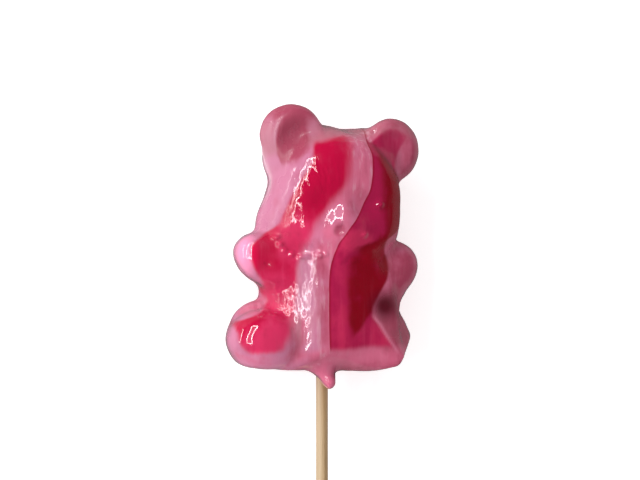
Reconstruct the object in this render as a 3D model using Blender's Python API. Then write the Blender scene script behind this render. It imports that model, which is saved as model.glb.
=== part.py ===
"""Bear lollipop: a hard sugar bear cast in a two-part mould round a thin bamboo stick.

The bear lies on its back, face up. Its head points to +Y and the stick runs out of its seat towards -Y.
The origin is on the flat of its back, straight below the stick.
All sizes are in metres and all turns in degrees.
"""

import math

import bmesh
import bpy
from mathutils import Matrix, Vector

# Driving sizes of the whole.
PARTING_HEIGHT = 0.0118  # the plane where the mould's halves meet, above the flat of the back
SEAT_BELOW_ORIGIN = 0.015  # from the origin down to the flat that the bear would sit on
LEAN = 4.5  # the bear is set a little askew on its stick, towards +X
STICK_DIAMETER = 0.003
STICK_LENGTH = 0.120
STICK_IN_CANDY = 0.028  # how far the stick reaches up inside, from the tip of the neck
STICK_ABOVE_PARTING = 0.0025
STICK_CHAMFER = 0.0003
STICK_SIDES = 32
FIT_GAP = 0.0003  # between the stick and the wall of its hole
HOLE_RUN_OUT = 0.002  # how far the tool for the hole reaches past the neck

# Fineness of the cast surface.
BALL_SEGMENTS = 48
BALL_RINGS = 24
SKIN_STEP = 0.0006
HEAD_SOFTENING = 30  # passes that run the lumps of the head into one form
SKIN_SOFTENING = 8  # passes that round every edge and crease at the end
KEPT_TRIANGLES = 0.12
SHARP_ANGLE = 40  # edges steeper than this stay crisp on the stick

# The skull is flatter in front and behind than an ellipsoid, with a tighter rim, and nods a little.
# Its back is shallower than its face, so that the flat it lies on stays small.
SKULL_MIDDLE = (0.0003, 0.0418, -0.0010)
SKULL_RADII = (0.0167, 0.0175, 0.0136)
SKULL_FULLNESS = 2.8
SKULL_BACK_SHARE = 0.84
SKULL_NOD = 5

# Lumps of the bear, each an ellipsoid: middle, radii, turn about Z.
# They are placed in the bear's own frame: X across, Y up from the seat, Z out of the parting plane.
HEAD_LUMPS = {
    "left_temple": ((-0.0060, 0.0515, -0.0010), (0.0087, 0.0082, 0.0088), 0),
    "right_temple": ((0.0082, 0.0522, -0.0010), (0.0085, 0.0082, 0.0088), 0),
    "left_brow": ((-0.0134, 0.0506, -0.0010), (0.0049, 0.0052, 0.0067), 0),
    "left_cheek": ((-0.0100, 0.0342, -0.0008), (0.0089, 0.0085, 0.0095), 0),
    "right_cheek": ((0.0083, 0.0346, 0.0005), (0.0083, 0.0081, 0.0103), 0),
    "jaw": ((0.0004, 0.0328, 0.0032), (0.0110, 0.0070, 0.0097), 0),
}
BODY_LUMPS = {
    "muzzle": ((0.0012, 0.0364, 0.0083), (0.0081, 0.0059, 0.0064), 0),
    "torso": ((0.0016, 0.0155, -0.0015), (0.0181, 0.0191, 0.0109), 0),
    "left_arm": ((-0.0144, 0.0252, 0.0014), (0.0095, 0.0065, 0.0073), -20),
    "left_forearm": ((-0.0100, 0.0228, 0.0030), (0.0067, 0.0052, 0.0056), -25),
    "right_arm": ((0.0166, 0.0261, -0.0005), (0.0070, 0.0067, 0.0060), 20),
    "right_elbow": ((0.0140, 0.0240, 0.0000), (0.0060, 0.0070, 0.0060), 20),
    "left_thigh": ((-0.0150, 0.0076, -0.0005), (0.0084, 0.0081, 0.0076), 0),
    "left_foot": ((-0.0149, 0.0060, 0.0046), (0.0095, 0.0081, 0.0078), 0),
}

# The belly is pitched like a low roof: two broad slopes, splayed to each side, inside a round wall.
BELLY_MIDDLE = (0.0015, 0.0090, 0.0)
BELLY_WALL_RADII = (0.0167, 0.0213, 0.0600)
BELLY_SLOPES = {
    "left": ((0.0500, 0.0290, 0.0135), -30),
    "right": ((0.0600, 0.0290, 0.0122), 18),
}

# The ears are thick round discs splayed outwards, each with a broad dish pressed into its front:
# middle, radii, splay and nod of each.
EARS = {
    "left_ear": ((-0.0122, 0.0562, 0.0025), (0.0079, 0.0077, 0.0050), -20, 0),
    "right_ear": ((0.0136, 0.0552, 0.0025), (0.0081, 0.0079, 0.0050), 22, 0),
}
EAR_DISHES = {
    "left_dish": ((-0.0114, 0.0546, 0.0120), (0.0095, 0.0115, 0.0070), -4, 10),
    "right_dish": ((0.0126, 0.0544, 0.0122), (0.0090, 0.0110, 0.0070), 14, 10),
}

# Hollows of the face.
EYE_SPREAD = 0.0058
EYE_MIDDLE_Y = 0.0398
EYE_MIDDLE_Z = 0.0160
EYE_RADII = (0.0044, 0.0030, 0.0036)
MOUTH_MIDDLE = (-0.0013, 0.0334, 0.0152)
MOUTH_RADII = (0.0015, 0.0013, 0.0020)
MOUTH_TURN = 30

# Flat faces, each a place on it and the way that it faces, in the frame of the stick:
# X across, Y up from the seat, Z out of the parting plane.
# The right leg is a wedge between flat faces. The last one lies below the seat, which trims it.
RIGHT_LEG_FACES = (
    ((0.0112, 0.0148, 0.0084), (0.675, 0.470, 0.570)),
    ((0.0150, 0.0080, 0.0090), (0.000, 0.100, 1.000)),
    ((0.0243, 0.0065, 0.0000), (0.970, 0.220, 0.100)),
    ((0.0040, 0.0060, 0.0000), (-1.000, 0.000, 0.000)),
    ((0.0150, 0.0080, -0.0080), (0.250, 0.200, -1.000)),
    ((0.0200, 0.0175, 0.0000), (0.100, 1.000, 0.100)),
    ((0.0150, -0.0030, 0.0000), (0.000, -1.000, 0.000)),
)
# What is trimmed off lies in front of each of these, and for the undercut in front of both.
SEAT_FACE = ((0.0, -0.0002, 0.0), (-0.045, -1.000, 0.000))
CHIP_FACES = {
    "upper_chip": ((0.0216, 0.0039, 0.0), (0.800, -0.570, 0.150)),
    "lower_chip": ((0.0190, 0.0007, 0.0), (0.260, -0.965, 0.000)),
}
UNDERCUT_FACES = (
    ((0.0010, 0.0033, 0.0110), (0.120, -0.800, 0.600)),
    ((0.0010, 0.0033, 0.0110), (-0.120, -0.800, 0.600)),
)
BACK_FACE = ((0.0, 0.0, 0.0), (0.0, 0.0, -1.0))

# The neck of sugar that ran down the stick: a fat drop round a short slanting line, flared into the seat.
# It is cut off askew on one side.
DROP_TOP = Vector((0.0005, 0.0030, 0.0016))
DROP_END = Vector((0.0008, -0.0024, 0.0031))
DROP_RADIUS = 0.0023
DROP_FLARE = 0.0018
DROP_FLARE_LENGTH = 0.0014
DROP_SIDE_FACE = ((-0.0013, -0.0027, 0.0030), (-0.860, -0.500, 0.000))
DROP_RINGS = 20
DROP_SIDES = 32
NECK_LENGTH = 0.0050  # from the seat to the tip, where the stick comes out
BLOCK_SIDE = 0.20  # larger than the bear each way, for blocks that trim it flat

SEAT = Vector((0, -SEAT_BELOW_ORIGIN, PARTING_HEIGHT))
STICK_AXIS = SEAT + Vector((0, 0, STICK_ABOVE_PARTING))
STICK_FRAME = Matrix.Translation(SEAT)
BEAR_FRAME = STICK_FRAME @ Matrix.Rotation(math.radians(-LEAN), 4, "Z")


def clear_scene():
    for obj in list(bpy.data.objects):
        bpy.data.objects.remove(obj, do_unlink=True)


def material(name, colour, roughness, coat):
    made = bpy.data.materials.new(name)
    made.use_nodes = True
    shader = made.node_tree.nodes["Principled BSDF"]
    shader.inputs["Base Color"].default_value = (*colour, 1)
    shader.inputs["Roughness"].default_value = roughness
    shader.inputs["Metallic"].default_value = 0
    shader.inputs["Coat Weight"].default_value = coat
    return made


def object_from(shape, name):
    """Turns the bmesh into a smooth-shaded object."""
    mesh = bpy.data.meshes.new(name)
    shape.to_mesh(mesh)
    shape.free()
    mesh.shade_smooth()
    made = bpy.data.objects.new(name, mesh)
    bpy.context.scene.collection.objects.link(made)
    return made


def helper_from(shape, name):
    """An object that shapes the bear but isn't a piece of it."""
    made = object_from(shape, name)
    made.hide_render = True
    made.display_type = "WIRE"
    return made


def placed(middle, turn_z, splay, nod):
    """A place in the bear's own frame, turned about its Y axis and X axis, then about Z."""
    turn = Matrix.Rotation(math.radians(turn_z), 4, "Z")
    turn = turn @ Matrix.Rotation(math.radians(splay), 4, "Y")
    turn = turn @ Matrix.Rotation(math.radians(nod), 4, "X")
    return BEAR_FRAME @ Matrix.Translation(middle) @ turn


def add_ball(shape, middle, radii, turn_z=0, splay=0, nod=0, fullness=2, back_share=1):
    """Adds an ellipsoid. With a fullness above 2 its front and back are flatter and its rim is tighter.

    The back share is how deep its back is, as a share of its front.
    """
    made = bmesh.ops.create_uvsphere(shape, u_segments=BALL_SEGMENTS, v_segments=BALL_RINGS, radius=1)
    for vert in made["verts"]:
        outline = math.hypot(vert.co.x, vert.co.y)
        depth = abs(vert.co.z)
        vert.co /= (outline**fullness + depth**fullness) ** (1 / fullness)
        if vert.co.z < 0:
            vert.co.z *= back_share
    place = placed(middle, turn_z, splay, nod) @ Matrix.Diagonal((*radii, 1))
    bmesh.ops.transform(shape, matrix=place, verts=made["verts"])


def ball(name, middle, radii, splay):
    shape = bmesh.new()
    add_ball(shape, middle, radii, splay=splay)
    return helper_from(shape, name)


def add_lumps(shape, lumps):
    """Each lump as a closed shell. They overlap, and the skin is drawn over them all."""
    for middle, radii, turn_z in lumps.values():
        add_ball(shape, middle, radii, turn_z)


def block(faces, frame=STICK_FRAME):
    """A large block cut back to flat faces, which all face out of it."""
    shape = bmesh.new()
    bmesh.ops.create_cube(shape, size=BLOCK_SIDE)
    for through, facing in faces:
        everything = [*shape.verts, *shape.edges, *shape.faces]
        cut = bmesh.ops.bisect_plane(
            shape, geom=everything, plane_co=through, plane_no=facing, clear_outer=True
        )
        rim = [part for part in cut["geom_cut"] if isinstance(part, bmesh.types.BMEdge)]
        bmesh.ops.edgeloop_fill(shape, edges=rim)
    bmesh.ops.recalc_face_normals(shape, faces=shape.faces)
    bmesh.ops.transform(shape, matrix=frame, verts=shape.verts)
    return shape


def trimmer(name, faces, frame=STICK_FRAME):
    """A block that fills all that lies in front of every face, for trimming it off."""
    turned_round = [(through, [-part for part in facing]) for through, facing in faces]
    return helper_from(block(turned_round, frame), name)


def boolean(obj, other, operation):
    step = obj.modifiers.new(f"{operation.lower()}_{other.name}", "BOOLEAN")
    step.operation = operation
    step.object = other
    step.solver = "EXACT"


def skin(obj):
    """Draws one closed skin over everything so far."""
    step = obj.modifiers.new("skin", "REMESH")
    step.mode = "VOXEL"
    step.voxel_size = SKIN_STEP
    step.use_smooth_shade = True


def soften(obj, passes):
    step = obj.modifiers.new("soften", "SMOOTH")
    step.factor = 0.5
    step.iterations = passes


def thin_out(obj):
    step = obj.modifiers.new("thin_out", "DECIMATE")
    step.decimate_type = "COLLAPSE"
    step.ratio = KEPT_TRIANGLES


def head():
    shape = bmesh.new()
    add_ball(
        shape,
        SKULL_MIDDLE,
        SKULL_RADII,
        nod=SKULL_NOD,
        fullness=SKULL_FULLNESS,
        back_share=SKULL_BACK_SHARE,
    )
    add_lumps(shape, HEAD_LUMPS)
    made = object_from(shape, "candy_bear")
    skin(made)
    soften(made, HEAD_SOFTENING)
    return made


def body():
    """The muzzle, the trunk and the limbs, which join the head with tighter creases."""
    shape = bmesh.new()
    add_lumps(shape, BODY_LUMPS)
    leg = block(RIGHT_LEG_FACES)
    mesh = bpy.data.meshes.new("right_leg")
    leg.to_mesh(mesh)
    leg.free()
    shape.from_mesh(mesh)
    bpy.data.meshes.remove(mesh)
    made = helper_from(shape, "body")
    skin(made)
    return made


def belly():
    """The round wall, kept only where it lies under both slopes."""
    made = ball("belly", BELLY_MIDDLE, BELLY_WALL_RADII, 0)
    for side, (radii, splay) in BELLY_SLOPES.items():
        slope = ball(f"{side}_slope", BELLY_MIDDLE, radii, splay)
        boolean(made, slope, "INTERSECT")
    return made


def ears():
    discs = bmesh.new()
    for middle, radii, splay, nod in EARS.values():
        add_ball(discs, middle, radii, splay=splay, nod=nod)
    dishes = bmesh.new()
    for middle, radii, splay, nod in EAR_DISHES.values():
        add_ball(dishes, middle, radii, splay=splay, nod=nod)
    made = helper_from(discs, "ears")
    boolean(made, helper_from(dishes, "dishes"), "DIFFERENCE")
    return made


def face_hollows():
    shape = bmesh.new()
    for side in (-1, 1):
        add_ball(shape, (side * EYE_SPREAD, EYE_MIDDLE_Y, EYE_MIDDLE_Z), EYE_RADII)
    add_ball(shape, MOUTH_MIDDLE, MOUTH_RADII, MOUTH_TURN)
    return helper_from(shape, "face_hollows")


def neck():
    """Rings from inside the seat to the tip, which closes like a ball, joined into one closed shape."""
    shape = bmesh.new()
    tip = DROP_END.y - DROP_RADIUS
    rings = []
    for i in range(DROP_RINGS):
        # The rings stand closer together towards the tip.
        height = tip + (DROP_TOP.y - tip) * math.cos(math.pi / 2 * i / DROP_RINGS)
        middle = DROP_TOP.lerp(DROP_END, (DROP_TOP.y - height) / (DROP_TOP.y - DROP_END.y))
        past_end = max(DROP_END.y - height, 0)
        radius = math.sqrt(DROP_RADIUS**2 - past_end**2)
        radius += DROP_FLARE * math.exp(min(height, 0) / DROP_FLARE_LENGTH)
        ring = []
        for k in range(DROP_SIDES):
            angle = 2 * math.pi * k / DROP_SIDES
            out = radius * Vector((math.cos(angle), 0, math.sin(angle)))
            ring.append(shape.verts.new(Vector((middle.x, height, middle.z)) + out))
        rings.append(ring)
    for upper, lower in zip(rings, rings[1:]):
        for k in range(DROP_SIDES):
            after = (k + 1) % DROP_SIDES
            shape.faces.new((upper[k], upper[after], lower[after], lower[k]))
    shape.faces.new(rings[0])
    shape.faces.new(rings[-1])
    bmesh.ops.recalc_face_normals(shape, faces=shape.faces)
    bmesh.ops.transform(shape, matrix=STICK_FRAME, verts=shape.verts)
    made = helper_from(shape, "neck")
    boolean(made, trimmer("drop_side", [DROP_SIDE_FACE]), "DIFFERENCE")
    return made


def rod(name, radius, start_y, length, chamfer):
    """A round rod along the stick's line, from start_y towards -Y, as a bmesh."""
    shape = bmesh.new()
    lay_down = Matrix.Rotation(math.radians(90), 4, "X")
    middle = Vector((STICK_AXIS.x, start_y - length / 2, STICK_AXIS.z))
    bmesh.ops.create_cone(
        shape,
        cap_ends=True,
        segments=STICK_SIDES,
        radius1=radius,
        radius2=radius,
        depth=length,
        matrix=Matrix.Translation(middle) @ lay_down,
    )
    if chamfer:
        rims = [edge for edge in shape.edges if any(len(face.verts) > 4 for face in edge.link_faces)]
        bmesh.ops.bevel(shape, geom=rims, offset=chamfer, segments=2, profile=0.5, affect="EDGES")
    made = object_from(shape, name)
    made.data.set_sharp_from_angle(angle=math.radians(SHARP_ANGLE))
    return made


def stick_hole():
    depth = STICK_IN_CANDY + FIT_GAP
    start_y = SEAT.y - NECK_LENGTH + depth
    made = rod("stick_hole", STICK_DIAMETER / 2 + FIT_GAP, start_y, depth + HOLE_RUN_OUT, 0)
    made.hide_render = True
    made.display_type = "WIRE"
    return made


def make_bear():
    bear = head()
    boolean(bear, ears(), "UNION")
    boolean(bear, body(), "UNION")
    boolean(bear, belly(), "UNION")
    boolean(bear, face_hollows(), "DIFFERENCE")
    boolean(bear, trimmer("seat_cut", [SEAT_FACE]), "DIFFERENCE")
    for name, chip in CHIP_FACES.items():
        boolean(bear, trimmer(name, [chip]), "DIFFERENCE")
    boolean(bear, trimmer("undercut", UNDERCUT_FACES), "DIFFERENCE")
    boolean(bear, neck(), "UNION")
    skin(bear)
    soften(bear, SKIN_SOFTENING)
    thin_out(bear)
    boolean(bear, trimmer("back_cut", [BACK_FACE], Matrix.Identity(4)), "DIFFERENCE")
    boolean(bear, stick_hole(), "DIFFERENCE")
    bear.data.materials.append(material("pink_candy", (0.60, 0.10, 0.20), 0.12, 0.6))


def make_stick():
    top_y = SEAT.y - NECK_LENGTH + STICK_IN_CANDY
    stick = rod("stick", STICK_DIAMETER / 2, top_y, STICK_LENGTH, STICK_CHAMFER)
    stick.data.materials.append(material("bamboo", (0.56, 0.40, 0.22), 0.6, 0))


clear_scene()
make_bear()
make_stick()
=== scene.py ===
import math

import bpy
import numpy as np
from mathutils import Matrix, Vector


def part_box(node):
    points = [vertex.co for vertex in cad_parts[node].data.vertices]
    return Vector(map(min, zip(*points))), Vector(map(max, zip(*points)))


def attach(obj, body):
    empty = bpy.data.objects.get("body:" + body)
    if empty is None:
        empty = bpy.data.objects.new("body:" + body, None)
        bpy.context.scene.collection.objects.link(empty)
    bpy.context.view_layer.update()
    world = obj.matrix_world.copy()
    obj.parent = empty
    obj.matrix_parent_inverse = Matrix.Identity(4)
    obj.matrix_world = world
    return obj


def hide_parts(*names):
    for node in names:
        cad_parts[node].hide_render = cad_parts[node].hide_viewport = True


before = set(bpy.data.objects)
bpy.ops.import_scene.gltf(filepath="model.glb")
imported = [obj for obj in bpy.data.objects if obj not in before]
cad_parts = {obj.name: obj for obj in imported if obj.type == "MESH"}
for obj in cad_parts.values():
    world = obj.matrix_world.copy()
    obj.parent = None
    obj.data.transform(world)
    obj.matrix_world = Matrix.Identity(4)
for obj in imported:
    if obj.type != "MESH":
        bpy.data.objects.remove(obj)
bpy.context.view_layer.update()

# ----------------------------------------------------------------------------------------------
# The bear: hard boiled sugar poured in ribbons of milky pink and clear red into a mould of two
# halves, which meet in one flat plane. It is one casting, with the neck of sugar that ran down
# the stick. All its sizes are in millimetres: x across, y up from the seat, z out of that plane.
# ----------------------------------------------------------------------------------------------
MM = 0.001
LEAN = math.radians(4.5)  # the bear sits a little askew on its stick
STICK_IN_CANDY = 28.0
NECK_LENGTH = 5.0
STICK_ABOVE_PARTING = 2.5

stick_low, stick_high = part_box("stick")
candy_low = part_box("candy_bear")[0]
stick_axis = (stick_low + stick_high) / 2
seat = np.array([stick_axis.x, stick_high.y, stick_axis.z]) / MM
seat -= [0, STICK_IN_CANDY - NECK_LENGTH, STICK_ABOVE_PARTING]
back_flat_z = candy_low.z / MM - seat[2]

# The skull, the left arm and the left foot are full ellipsoids: middle and radii, how full they are, and how
# they nod or turn. Their backs are that share of their fronts' depth.
FULL_BACK_SHARE = 0.84
SKULL = ((0.3, 41.8, -1.0), (16.4, 17.2, 13.3))
SKULL_FULLNESS, SKULL_NOD = 2.8, 12
LEFT_ARM = ((-14.6, 25.3, 0.0), (9.2, 6.4, 7.2))
LEFT_ARM_FULLNESS, LEFT_ARM_TURN = 3.4, -20
LEFT_FOOT = ((-14.9, 6.0, 2.6), (9.3, 7.9, 9.6))
LEFT_FOOT_FULLNESS = 2.5
# The other lumps are plain ellipsoids. Those of the head: middle, radii, how softly each runs into the ones
# before it, and turn about z. Those of the trunk and limbs: middle, radii and turn about z.
HEAD_LUMPS = (
    ((8.2, 52.2, -1.0), (8.2, 7.9, 8.5), 3, 0),
    ((-6.0, 51.5, -1.0), (8.5, 8.0, 8.5), 3, 0),
    ((-13.4, 50.6, -1.0), (4.7, 5.0, 6.5), 3, 0),
    ((-10.0, 34.0, -0.8), (8.6, 8.2, 9.2), 4, 0),
    ((8.3, 34.6, 0.5), (7.9, 7.8, 10.0), 4, 0),
    ((0.4, 33.5, 3.2), (10.6, 6.8, 9.4), 4, 0),
    ((1.9, 36.4, 8.3), (6.6, 5.6, 6.3), 2, 0),
)
TRUNK = ((1.6, 15.5, -1.5), (18.0, 19.0, 10.8))
# The belly is pitched like a low roof: two broad slopes, splayed to each side, inside a round wall.
BELLY_SLOPES = (
    ((1.5, 9.0, 0.0), (25.0, 34.0, 13.5), -20),
    ((1.5, 9.0, 0.0), (60.0, 34.0, 12.1), 18),
)
BELLY_WALL = ((1.3, 9.0, 0.0), (16.8, 22.6, 60.0))
LEFT_PAW = ((-10.0, 22.8, 2.4), (6.5, 5.0, 5.4), -25)
RIGHT_ARM = ((16.6, 26.1, -0.5), (6.8, 6.5, 5.8), 20)
LEFT_THIGH = ((-15.0, 7.6, -0.5), (8.3, 8.0, 7.4))
# The ears are thick round discs splayed outwards: middle, radii, splay. A dish is pressed into each.
EARS = (
    ((-12.2, 56.2, 2.5), (7.7, 7.5, 4.8), -20),
    ((13.5, 55.0, 2.5), (7.9, 7.8, 4.8), 22),
)
EAR_DISHES = (
    ((-10.7, 54.4, 11.8), (9.1, 11.3, 7.3), -6, 10),
    ((13.3, 54.2, 12.2), (9.2, 11.0, 7.0), 14, 10),
)
# The eyes and the mouth are pressed in by small ellipsoids: middle, radii and turn about z.
EYES = (((-5.8, 39.8, 16.0), (4.4, 3.0, 3.6)), ((5.8, 39.8, 16.0), (4.4, 3.0, 3.6)))
MOUTH = ((-1.3, 33.4, 15.2), (1.9, 1.5, 2.3), 30)
# The right leg is a wedge between flat faces: a point on each, the way it faces, and how round its edges are.
RIGHT_LEG_FACES = (
    ((11.2, 14.8, 8.4), (0.675, 0.47, 0.57), 0),
    ((15.0, 8.0, 9.0), (0.0, 0.10, 1.0), 1.2),
    ((24.3, 6.5, 0.0), (0.97, 0.22, 0.1), 1.2),
    ((4.0, 6.0, 0.0), (-1.0, 0.0, 0.0), 1.5),
    ((15.0, 8.0, -8.0), (0.25, 0.2, -1.0), 4),
    ((20.0, 17.5, 0.0), (0.1, 1.0, 0.1), 4),
)
# Flat faces that trim the casting: the seat, the side of the neck's drop, and chips off the right leg's foot.
SEAT_FACE = ((0.0, -0.3, 0.0), (-0.045, -1.0, 0.0))
DROP_SIDE = ((-1.3, -2.7, 3.0), (-0.86, -0.50, 0.0))
CHIPS = (((21.6, 3.9, 0.0), (0.80, -0.57, 0.15)), ((15.6, 0.2, 0.0), (0.25, -0.968, 0.0)))
# The front of the seat slopes back under the belly: a point on the slope, and how it arches round the stick.
UNDERCUT_RISE, UNDERCUT_DEPTH, UNDERCUT_ARCH = 3.3, 11.0, 0.12
# The neck is one drop: where its middle starts and ends, its radius at both, and how drawn out it is in z.
DROP_TOP, DROP_END = (-1.9, 3.0, 3.8), (0.2, -2.8, 7.2)
DROP_RADII = (3.1, 1.8)
DROP_DRAWN_OUT = 1.9
# How softly the forms run into each other: the higher the number, the rounder the edge or the fold.
EYE_EDGE, MOUTH_EDGE, DISH_EDGE, EAR_FOLD = 3, 1.0, 0.9, 2.0
BELLY_RIDGE, BELLY_EDGE, BELLY_FOLD = 3.0, 2.4, 1.5
PAW_FOLD, LEFT_ARM_FOLD, RIGHT_ARM_FOLD = 4, 2.2, 5.0
FOOT_FOLD, LEFT_LEG_FOLD, RIGHT_LEG_FOLD, JAW_FOLD = 0.8, 1.4, 1.6, 2.0
SEAT_EDGE, CHIP_EDGE, UNDERCUT_EDGE, BACK_EDGE = 1.4, 0.6, 1.2, 0.6
DROP_EDGE, DROP_FOLD = 0.8, 2.8
# A thin roll of sugar stands up on the trunk along the jaw and along the left leg: how far from them,
# half its width, its height, and the place across and up round which it shows, with half widths.
HEAD_BEAD = (1.5, 0.8, 0.30, (-5.5, 29.0, 10.5, 6.5))
LEG_BEAD = (1.2, 0.7, 0.26, (-9.5, 15.0, 4.5, 7.0))
# Small bubbles: places across and up, width, and depth of the dent or, below zero, height of the blister.
DENTS = ((12.1, 39.8, 0.9, -0.9), (7.9, 32.6, 0.65, -0.62), (12.2, 57.4, 0.7, 0.4), (-14.8, 25.6, 0.6, 0.25))
# Beads of sugar in the fold under the jaw, all alike: places across and up, width and height.
JAW_BEADS = (
    (-12.4, 31.9), (-11.6, 30.4), (-10.5, 28.9), (-8.8, 27.9),
    (-6.9, 27.4), (-5.3, 27.4), (-2.5, 27.7), (-1.1, 27.9),
)
JAW_BEAD_WIDTH, JAW_BEAD_HEIGHT = 0.75, 0.62
# Where the sugar wrinkled as it set: places across and up, half widths, soft edge and height of the wrinkles.
WRINKLES = (
    (-5.8, 16.5, 4.8, 11.0, 0.9, 0.030),
    (-4.5, 47.3, 5.5, 4.2, 0.9, 0.028),
    (-8.3, 38.5, 2.5, 6.0, 0.9, 0.014),
    (-15.5, 16.5, 6.0, 3.2, 0.9, 0.055),
    (-18.5, 28.0, 3.0, 5.0, 0.9, 0.020),
    (-12.5, 54.0, 5.0, 8.0, 0.9, 0.010),
)
# The ripple that the mould left all over, and the fin of flash where its halves met.
RIPPLE_HEIGHT = 0.03
FLASH_HEIGHT, FLASH_WIDTH = 0.09, 0.25


def turned(x, y, degrees):
    """The two coordinates of a place after a turn by minus that many degrees."""
    c, s = math.cos(math.radians(degrees)), math.sin(math.radians(degrees))
    return c * x + s * y, -s * x + c * y


def ellipsoid(point, middle, radii, turn_z=0, splay=0, nod=0):
    """About how far a point lies outside an ellipsoid.

    It is how many radii out the point is, times that less one, over the slope there.
    """
    x, y, z = (p - m for p, m in zip(point, middle))
    if turn_z:
        x, y = turned(x, y, turn_z)
    if splay:
        x, z = turned(x, z, -splay)
    if nod:
        y, z = turned(y, z, nod)
    out = np.sqrt((x / radii[0]) ** 2 + (y / radii[1]) ** 2 + (z / radii[2]) ** 2)
    slope = np.sqrt((x / radii[0] ** 2) ** 2 + (y / radii[1] ** 2) ** 2 + (z / radii[2] ** 2) ** 2)
    return out * (out - 1) / (slope + 1e-9)


def full_ellipsoid(point, middle, radii, fullness, nod=0, turn_z=0):
    """About how far a point lies outside an ellipsoid with flatter faces, a tighter rim and a shallower back.

    How far out it is in outline and how far out in depth, each to the power of the fullness, add up to that
    power of how far out it is in all. That less one, over the slope there, is the distance.
    """
    x, y, z = (p - m for p, m in zip(point, middle))
    x, y = turned(x, y, turn_z)
    y, z = turned(y, z, nod)
    round_out = np.sqrt((x / radii[0]) ** 2 + (y / radii[1]) ** 2) + 1e-9
    round_slope = np.sqrt((x / radii[0] ** 2) ** 2 + (y / radii[1] ** 2) ** 2) / round_out
    depth = radii[2] * np.where(z < 0, FULL_BACK_SHARE, 1)
    deep_out = np.abs(z / depth) + 1e-9
    out = (round_out**fullness + deep_out**fullness) ** (1 / fullness)
    along = (round_out / out) ** (fullness - 1) * round_slope
    through = (deep_out / out) ** (fullness - 1) / depth
    return (out - 1) / np.sqrt(along**2 + through**2 + 1e-12)


def face(point, through, facing):
    """How far a point lies in front of a flat face."""
    length = math.sqrt(sum(f * f for f in facing))
    return sum((p - t) * f for p, t, f in zip(point, through, facing)) / length


def join(a, b, softness):
    """Two forms run together: the nearer distance, less a quarter of the softness where the two are equal."""
    if not softness:
        return np.minimum(a, b)
    near = np.maximum(softness - np.abs(a - b), 0) / softness
    return np.minimum(a, b) - near * near * softness / 4


def cut(a, b, softness):
    """What is inside both forms, with the edge between them rounded."""
    return -join(-a, -b, softness)


def beyond(distance, softness):
    """0 on one side of a line and 1 on the other, with a soft step of that width."""
    t = np.clip(distance / softness + 0.5, 0, 1)
    return t * t * (3 - 2 * t)


def oval(point, across, up, half_width, half_height, edge=0.7):
    """1 inside an oval patch of the front and 0 outside it, with a soft edge: a share of its size."""
    x, y, z = point
    out = np.sqrt(((x - across) / half_width) ** 2 + ((y - up) / half_height) ** 2)
    return beyond(1 - out, edge) * beyond(z, 5.0)


def lumps(point, parts, form):
    """A form with ellipsoids joined to it one after another, each with its own softness."""
    for middle, radii, softness, turn_z in parts:
        form = join(form, ellipsoid(point, middle, radii, turn_z), softness)
    return form


def upright(point):
    """A place in the bear's own frame, which leans on the stick."""
    x, y, z = point
    return x * math.cos(LEAN) - y * math.sin(LEAN), x * math.sin(LEAN) + y * math.cos(LEAN), z


def dish(point, ear):
    """How far a place in the bear's own frame lies outside the dish pressed into an ear."""
    middle, radii, splay, nod = EAR_DISHES[ear]
    return ellipsoid(point, middle, radii, splay=splay, nod=nod)


def bead(point, other, away, width, height, place):
    """A low ridge that keeps that far from another form: a bell across, broken into dashes by a slow wave."""
    x, y, _ = point
    dashes = 0.55 + 0.45 * np.sin(2.0 * x - 1.2 * y + 0.6)
    return height * np.exp(-(((other - away) / width) ** 2)) * dashes * oval(point, *place, 0.5)


def bear(point):
    """The bear but its right leg, in its own upright frame: head and ears, then trunk, arms and left leg."""
    head = lumps(point, HEAD_LUMPS, full_ellipsoid(point, *SKULL, SKULL_FULLNESS, SKULL_NOD))
    for eye in EYES:
        head = cut(head, -ellipsoid(point, *eye), EYE_EDGE)
    head = cut(head, -ellipsoid(point, *MOUTH), MOUTH_EDGE)
    for side, (middle, radii, splay) in enumerate(EARS):
        ear = cut(ellipsoid(point, middle, radii, splay=splay), -dish(point, side), DISH_EDGE)
        head = join(head, ear, EAR_FOLD)
    slopes = (ellipsoid(point, middle, radii, splay=splay) for middle, radii, splay in BELLY_SLOPES)
    belly = cut(ellipsoid(point, *BELLY_WALL), cut(*slopes, BELLY_RIDGE), BELLY_EDGE)
    body = join(ellipsoid(point, *TRUNK), belly, BELLY_FOLD)
    arm = full_ellipsoid(point, *LEFT_ARM, LEFT_ARM_FULLNESS, turn_z=LEFT_ARM_TURN)
    body = join(body, join(arm, ellipsoid(point, *LEFT_PAW), PAW_FOLD), LEFT_ARM_FOLD)
    body = join(body, ellipsoid(point, *RIGHT_ARM), RIGHT_ARM_FOLD)
    foot = full_ellipsoid(point, *LEFT_FOOT, LEFT_FOOT_FULLNESS)
    leg = join(ellipsoid(point, *LEFT_THIGH), foot, FOOT_FOLD)
    body = join(body - bead(point, leg, *LEG_BEAD), leg, LEFT_LEG_FOLD)
    return join(head, body - bead(point, head, *HEAD_BEAD), JAW_FOLD)


def neck(point):
    """Sugar that ran down the stick: the distance from a short slanting line, less a radius that tapers.

    Depths count for less than widths, which draws the drop out in z, and one side is trimmed flat.
    """
    top, end = np.array(DROP_TOP), np.array(DROP_END)
    line = end - top
    from_top = [p - t for p, t in zip(point, top)]
    run = np.clip(sum(f * along for f, along in zip(from_top, line)) / (line @ line), 0, 1)
    dx, dy, dz = (f - run * along for f, along in zip(from_top, line))
    form = np.sqrt(dx**2 + dy**2 + (dz / DROP_DRAWN_OUT) ** 2) - np.interp(run, (0, 1), DROP_RADII)
    return cut(form, face(point, *DROP_SIDE), DROP_EDGE)


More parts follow.
